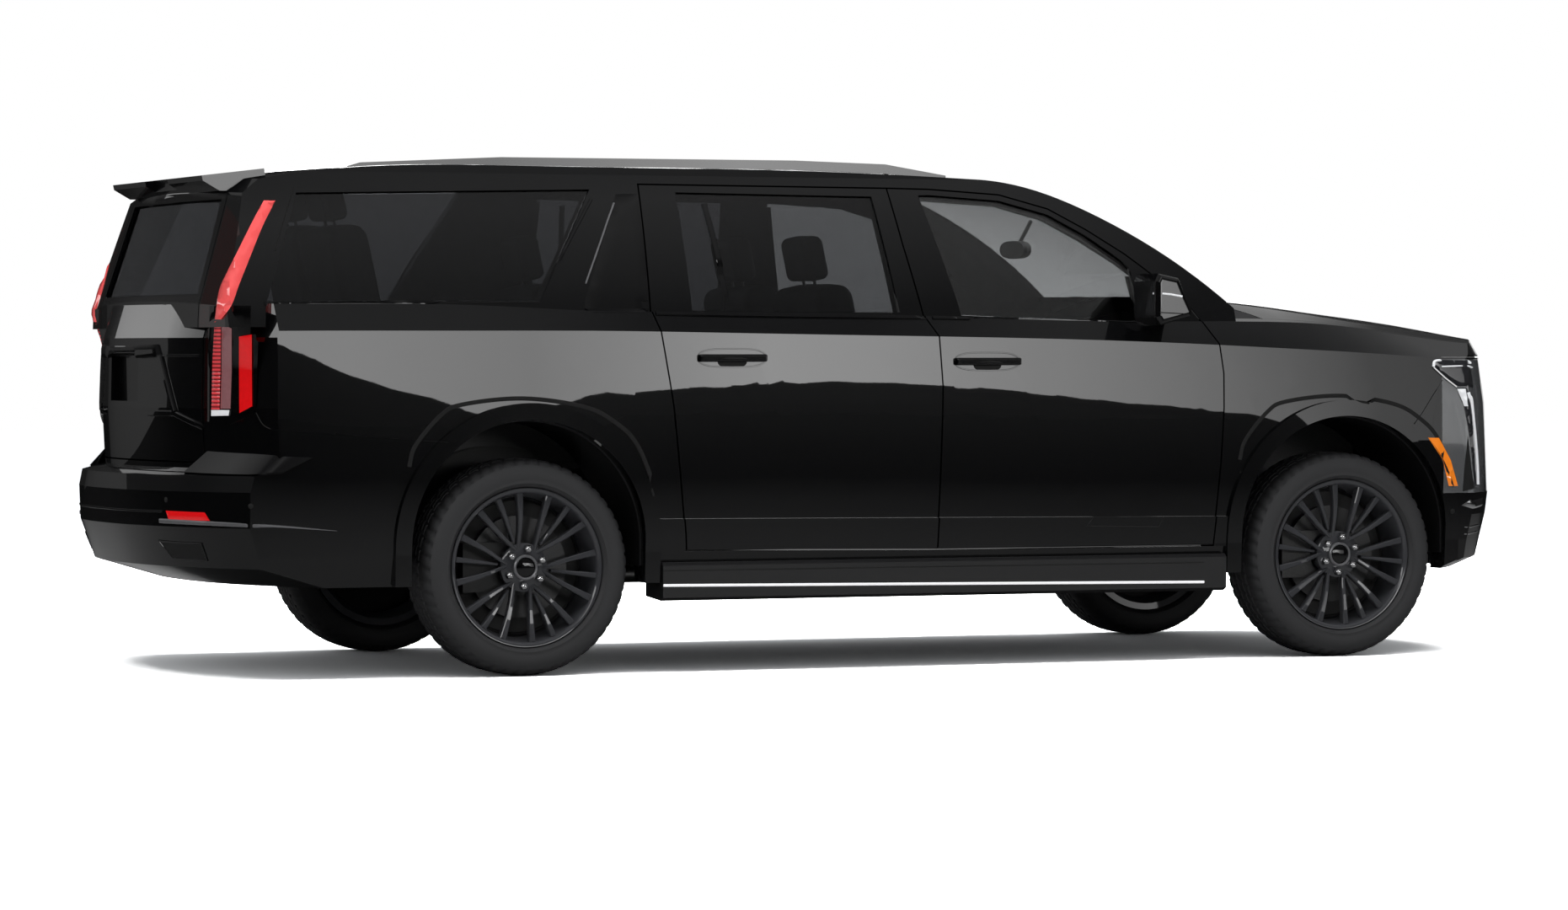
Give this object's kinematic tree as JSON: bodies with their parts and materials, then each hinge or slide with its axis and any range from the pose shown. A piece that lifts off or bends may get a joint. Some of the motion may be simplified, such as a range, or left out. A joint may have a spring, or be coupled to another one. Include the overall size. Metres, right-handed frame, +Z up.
{
  "type": "full-size suv",
  "caption": "Long-wheelbase full-size SUV in gloss black with opening doors, hood and tailgate, steered front wheels and rolling wheels.",
  "frame": {"origin": "on the ground, at mid length and mid width", "axes": "+X forward, +Y to the car's left, +Z up"},
  "size_m": [5.7368, 2.3804, 1.933],
  "materials": {
    "black_paint": "deep gloss clearcoat",
    "gloss_black": "gloss",
    "black_plastic": "fine grain",
    "tinted_glass": "polished, dark tint",
    "clear_glass": "polished",
    "red_lens": "moulded ribbed lens",
    "clear_lens": "clear moulded lens",
    "wheel_black": "gloss black paint",
    "tyre": "matt rubber",
    "chassis_black": "satin chassis paint",
    "cast_grey": "as cast",
    "steel": "brushed",
    "seat_leather": "fine grain",
    "carpet": "short pile"
  },
  "bodies": {
    "root": {"roof": "black_paint", "body_side_right": "black_paint", "body_side_left": "black_paint", "front_fenders": "black_paint", "front_bumper": "black_paint", "rear_bumper": "black_paint", "cowl": "black_plastic", "grille": "gloss_black", "headlamps": "clear_lens", "tail_lamps": "red_lens", "fixed_glass": "tinted_glass", "roof_rails": "gloss_black", "running_boards": "black_plastic", "wheel_liners": "black_plastic", "floor": "carpet", "seats": "seat_leather", "dashboard": "black_plastic", "frame": "chassis_black", "front_suspension": "chassis_black", "rear_axle": "chassis_black", "powertrain": "cast_grey", "exhaust": "steel", "fuel_tank": "black_plastic"},
    "hood": {"hood": "black_paint"},
    "tailgate": {"tailgate": "black_paint", "tailgate_glass": "tinted_glass"},
    "front_door_right": {"front_door_right": "black_paint", "front_door_glass_right": "clear_glass", "mirror_right": "gloss_black"},
    "rear_door_right": {"rear_door_right": "black_paint", "rear_door_glass_right": "tinted_glass"},
    "knuckle_right": {"front_knuckle_right": "cast_grey"},
    "front_door_left": {"front_door_left": "black_paint", "front_door_glass_left": "clear_glass", "mirror_left": "gloss_black"},
    "rear_door_left": {"rear_door_left": "black_paint", "rear_door_glass_left": "tinted_glass"},
    "knuckle_left": {"front_knuckle_left": "cast_grey"},
    "front_wheel_right": {"front_rim_right": "wheel_black", "front_tyre_right": "tyre"},
    "front_wheel_left": {"front_rim_left": "wheel_black", "front_tyre_left": "tyre"},
    "rear_wheel_right": {"rear_rim_right": "wheel_black", "rear_tyre_right": "tyre"},
    "rear_wheel_left": {"rear_rim_left": "wheel_black", "rear_tyre_left": "tyre"}
  },
  "joints": [
    {"name": "front_door_right_hinge", "type": "hinge", "parent": "root", "child": "front_door_right", "pos_m": [1.3564, -1.0195, 0.9], "axis": [0, 0, 1], "range_deg": [0, 68]},
    {"name": "rear_door_right_hinge", "type": "hinge", "parent": "root", "child": "rear_door_right", "pos_m": [0.1577, -1.0195, 0.9], "axis": [0, 0, 1], "range_deg": [0, 68]},
    {"name": "front_door_left_hinge", "type": "hinge", "parent": "root", "child": "front_door_left", "pos_m": [1.3564, 1.0195, 0.9], "axis": [0, 0, -1], "range_deg": [0, 68]},
    {"name": "rear_door_left_hinge", "type": "hinge", "parent": "root", "child": "rear_door_left", "pos_m": [0.1577, 1.0195, 0.9], "axis": [0, 0, -1], "range_deg": [0, 68]},
    {"name": "hood_hinge", "type": "hinge", "parent": "root", "child": "hood", "pos_m": [1.6157, 0, 1.4155], "axis": [0, -1, 0], "range_deg": [0, 50]},
    {"name": "tailgate_hinge", "type": "hinge", "parent": "root", "child": "tailgate", "pos_m": [-2.3686, 0, 1.886], "axis": [0, 1, 0], "range_deg": [0, 85]},
    {"name": "steer_right", "type": "hinge", "parent": "root", "child": "knuckle_right", "pos_m": [1.8985, -0.83, 0.403], "axis": [0, 0, 1], "range_deg": [-35, 35]},
    {"name": "steer_left", "type": "hinge", "parent": "root", "child": "knuckle_left", "pos_m": [1.8985, 0.83, 0.403], "axis": [0, 0, 1], "range_deg": [-35, 35]},
    {"name": "front_wheel_right_spin", "type": "hinge", "parent": "knuckle_right", "child": "front_wheel_right", "pos_m": [1.8985, -0.865, 0.403], "axis": [0, 1, 0], "continuous": true},
    {"name": "front_wheel_left_spin", "type": "hinge", "parent": "knuckle_left", "child": "front_wheel_left", "pos_m": [1.8985, 0.865, 0.403], "axis": [0, 1, 0], "continuous": true},
    {"name": "rear_wheel_right_spin", "type": "hinge", "parent": "root", "child": "rear_wheel_right", "pos_m": [-1.5085, -0.865, 0.403], "axis": [0, 1, 0], "continuous": true},
    {"name": "rear_wheel_left_spin", "type": "hinge", "parent": "root", "child": "rear_wheel_left", "pos_m": [-1.5085, 0.865, 0.403], "axis": [0, 1, 0], "continuous": true}
  ],
  "couplings": [
    {"joint": "steer_left", "follows": "steer_right", "ratio": 1}
  ]
}
